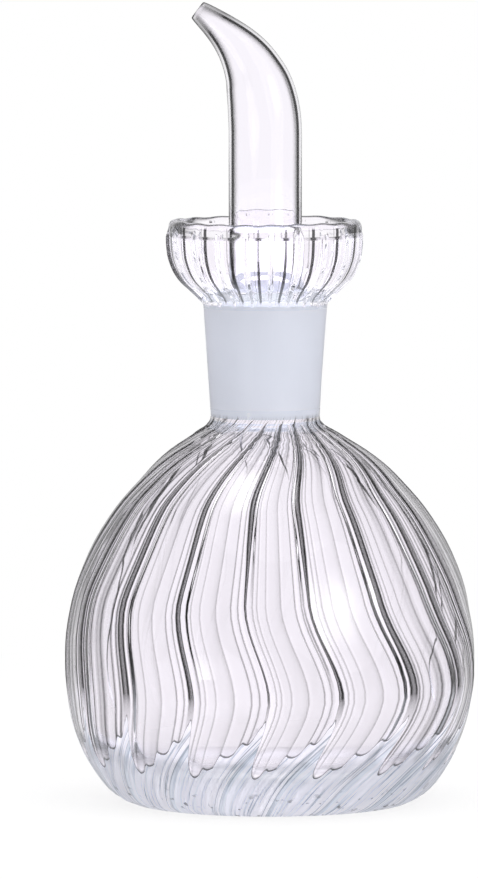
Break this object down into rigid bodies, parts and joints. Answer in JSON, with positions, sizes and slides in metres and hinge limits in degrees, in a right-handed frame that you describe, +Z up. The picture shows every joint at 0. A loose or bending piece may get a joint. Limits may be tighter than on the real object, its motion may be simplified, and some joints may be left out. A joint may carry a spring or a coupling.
{
  "type": "glass oil cruet",
  "caption": "Clear glass oil cruet: round swirled, ribbed flask with a frosted ground neck and fluted drip collar, and a lift-out stopper with a bent pouring spout.",
  "frame": {"origin": "centre of the flat foot of the flask, on the surface it stands on", "axes": "+Z up along the flask, -X towards the side the spout bends to, -Y towards the viewer of the picture"},
  "size_m": [0.0651, 0.0656, 0.127],
  "materials": {
    "clear_glass": "fire-polished, clear, with a faint violet cast",
    "ground_glass": "ground joint, frosted white"
  },
  "bodies": {
    "flask": {"flask_bulb": "clear_glass", "neck_socket": "ground_glass", "drip_collar": "clear_glass"},
    "stopper": {"ground_plug": "ground_glass", "pouring_spout": "clear_glass"}
  },
  "joints": [
    {"name": "stopper_lift", "type": "slide", "parent": "flask", "child": "stopper", "axis": [0, 0, 1], "range_m": [0, 0.035]}
  ]
}
